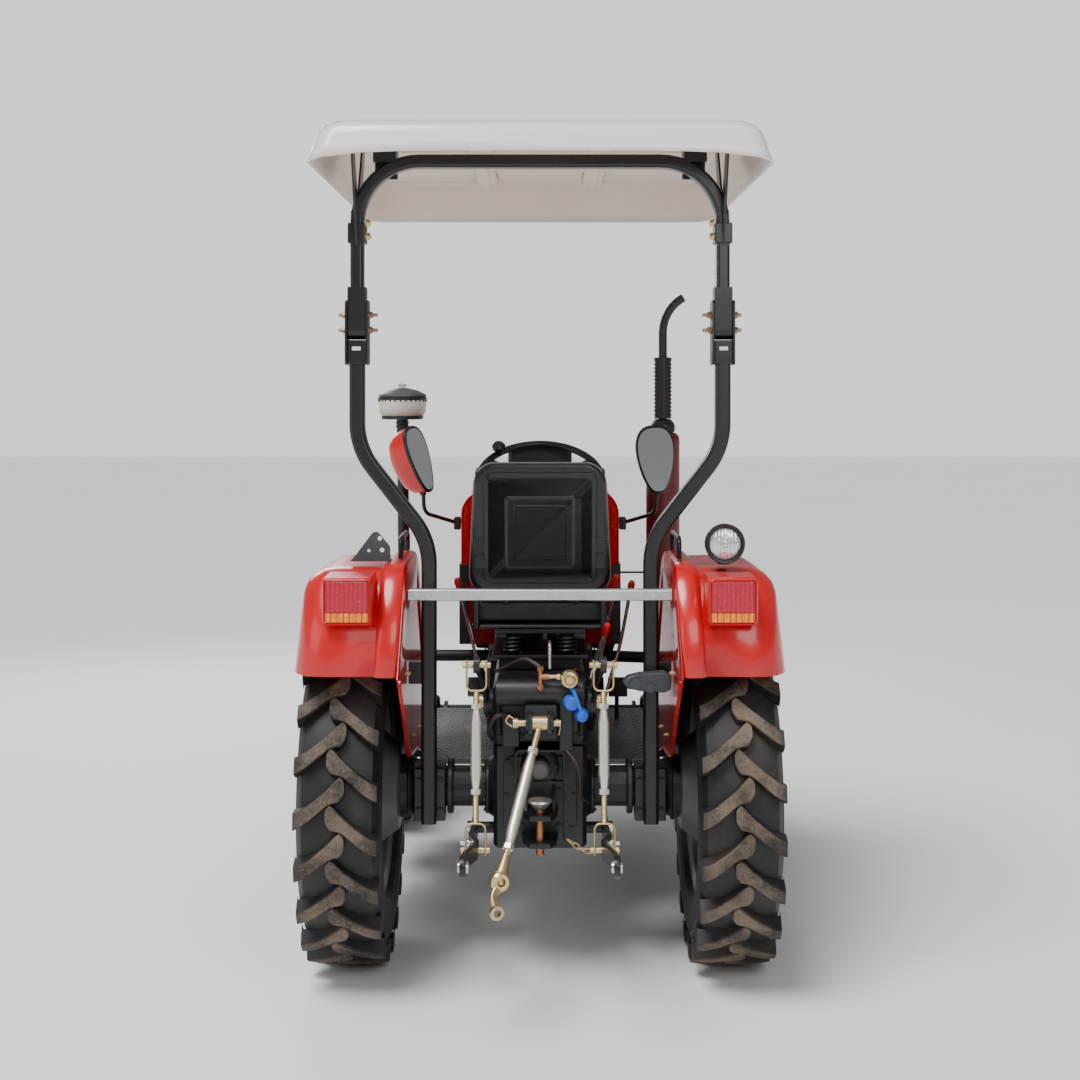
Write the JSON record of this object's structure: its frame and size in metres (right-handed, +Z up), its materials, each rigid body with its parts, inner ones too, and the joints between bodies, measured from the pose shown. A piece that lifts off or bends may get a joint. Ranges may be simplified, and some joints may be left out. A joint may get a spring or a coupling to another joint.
{
  "type": "compact farm tractor",
  "caption": "Compact four-wheel-drive farm tractor with a two-post folding roll-over frame, white sun canopy, red bodywork and a rear three-point hitch.",
  "frame": {"origin": "on the ground under the middle of the machine's overall box", "axes": "+X to the tractor's right, +Y forward, +Z up"},
  "size_m": [1.428, 2.9297, 2.55],
  "materials": {
    "tyre_rubber": "ribbed black rubber, dusty on the bar faces",
    "wheel_rim": "silver grey paint",
    "red_paint": "gloss red paint, faded and dusty",
    "mirror_shell": "red moulded shell with a black rim",
    "black_paint": "satin black paint",
    "plated_rod": "yellow zinc plating, worn",
    "canopy_shell": "white fibreglass, cream underneath",
    "bare_steel": "galvanised and bare steel",
    "seat_vinyl": "black vinyl with fine grain",
    "black_plastic": "moulded black plastic",
    "lamp_lens_red": "red lens with an amber strip",
    "lamp_lens_clear": "clear ribbed lens over a bright reflector",
    "grey_bracket": "grey primed steel",
    "exhaust_paint": "black heat paint, rust-tinted",
    "radiator_core": "black finned core",
    "cast_housing": "dark grey painted castings"
  },
  "bodies": {
    "root": {"air_precleaner": "black_plastic", "cowl": "red_paint", "crossbar": "bare_steel", "dash_console": "black_plastic", "drawbar": "cast_housing", "engine_block": "cast_housing", "exhaust": "exhaust_paint", "fender_left": "red_paint", "fender_right": "red_paint", "front_axle_beam": "cast_housing", "front_frame": "black_paint", "front_weight_bracket": "black_paint", "lamp_bracket_left": "grey_bracket", "lift_housing": "cast_housing", "mirror_left": "mirror_shell", "mirror_right": "mirror_shell", "platform_left": "bare_steel", "platform_right": "bare_steel", "pto_shaft": "bare_steel", "radiator": "radiator_core", "rear_axle_housing": "cast_housing", "rops_post_left": "black_paint", "rops_post_right": "black_paint", "seat_back": "seat_vinyl", "seat_base": "black_paint", "seat_cushion": "seat_vinyl", "seat_shell": "black_plastic", "tail_lamp_left": "lamp_lens_red", "tail_lamp_right": "lamp_lens_red", "transmission_housing": "cast_housing", "work_lamp_right": "lamp_lens_clear"},
    "rear_wheel_left": {"rear_tyre_left": "tyre_rubber", "rear_rim_left": "wheel_rim"},
    "rear_wheel_right": {"rear_tyre_right": "tyre_rubber", "rear_rim_right": "wheel_rim"},
    "front_wheel_left": {"front_tyre_left": "tyre_rubber", "front_rim_left": "wheel_rim"},
    "front_wheel_right": {"front_tyre_right": "tyre_rubber", "front_rim_right": "wheel_rim"},
    "steered_left": {"knuckle_left": "cast_housing"},
    "steered_right": {"knuckle_right": "cast_housing"},
    "steering_link": {"steering_rod": "bare_steel"},
    "hand_wheel": {"steering_wheel": "black_plastic"},
    "hood_lid": {"hood": "red_paint", "grille": "black_plastic"},
    "folding_roof": {"rops_hoop": "black_paint", "canopy": "canopy_shell"},
    "lift_arms": {"lift_arm_left": "black_paint", "lift_arm_right": "black_paint"},
    "lift_rods": {"lift_rod_left": "plated_rod", "lift_rod_right": "plated_rod"},
    "lower_links": {"lower_link_left": "black_paint", "lower_link_right": "black_paint"},
    "upper_link": {"top_link": "plated_rod"}
  },
  "joints": [
    {"name": "rear_spin_left", "type": "hinge", "parent": "root", "child": "rear_wheel_left", "pos_m": [-0.575, -0.635, 0.525], "axis": [1, 0, 0], "continuous": true},
    {"name": "rear_spin_right", "type": "hinge", "parent": "root", "child": "rear_wheel_right", "pos_m": [0.575, -0.635, 0.525], "axis": [1, 0, 0], "continuous": true},
    {"name": "steer_left", "type": "hinge", "parent": "root", "child": "steered_left", "pos_m": [-0.46, 0.985, 0.375], "axis": [0, 0, 1], "range_deg": [-38, 38]},
    {"name": "steer_right", "type": "hinge", "parent": "root", "child": "steered_right", "pos_m": [0.46, 0.985, 0.375], "axis": [0, 0, 1], "range_deg": [-38, 38]},
    {"name": "front_spin_left", "type": "hinge", "parent": "steered_left", "child": "front_wheel_left", "pos_m": [-0.61, 0.985, 0.375], "axis": [1, 0, 0], "continuous": true},
    {"name": "front_spin_right", "type": "hinge", "parent": "steered_right", "child": "front_wheel_right", "pos_m": [0.61, 0.985, 0.375], "axis": [1, 0, 0], "continuous": true},
    {"name": "hand_wheel_turn", "type": "hinge", "parent": "root", "child": "hand_wheel", "pos_m": [0, -0.135, 1.452], "axis": [0, -0.5446, 0.8387], "range_deg": [-540, 540]},
    {"name": "steering_link_slide", "type": "slide", "parent": "root", "child": "steering_link", "axis": [1, 0, 0], "range_m": [-0.078, 0.078]},
    {"name": "hood_tilt", "type": "hinge", "parent": "root", "child": "hood_lid", "pos_m": [0, 0.365, 1.4], "axis": [1, 0, 0], "range_deg": [0, 55]},
    {"name": "roof_fold", "type": "hinge", "parent": "root", "child": "folding_roof", "pos_m": [0, -0.755, 1.938], "axis": [1, 0, 0], "range_deg": [0, 90]},
    {"name": "lift_raise", "type": "hinge", "parent": "root", "child": "lift_arms", "pos_m": [0, -0.805, 0.818], "axis": [-1, 0, 0], "range_deg": [-30, 30]},
    {"name": "lift_rod_swing", "type": "hinge", "parent": "lift_arms", "child": "lift_rods", "pos_m": [0, -1.055, 0.97], "axis": [-1, 0, 0], "range_deg": [-24, 24]},
    {"name": "lower_link_swing", "type": "hinge", "parent": "root", "child": "lower_links", "pos_m": [0, -0.655, 0.4], "axis": [-1, 0, 0], "range_deg": [-18, 18]},
    {"name": "upper_link_swing", "type": "hinge", "parent": "root", "child": "upper_link", "pos_m": [0, -0.985, 0.79], "axis": [-1, 0, 0], "range_deg": [0, 100]}
  ],
  "couplings": [
    {"joint": "steer_right", "follows": "steer_left", "ratio": 1},
    {"joint": "hand_wheel_turn", "follows": "steer_left", "ratio": 13.5},
    {"joint": "steering_link_slide", "follows": "steer_left", "m_per_rad": 0.1115},
    {"joint": "lift_rod_swing", "follows": "lift_raise", "ratio": -0.76},
    {"joint": "lower_link_swing", "follows": "lift_raise", "ratio": 0.57}
  ]
}
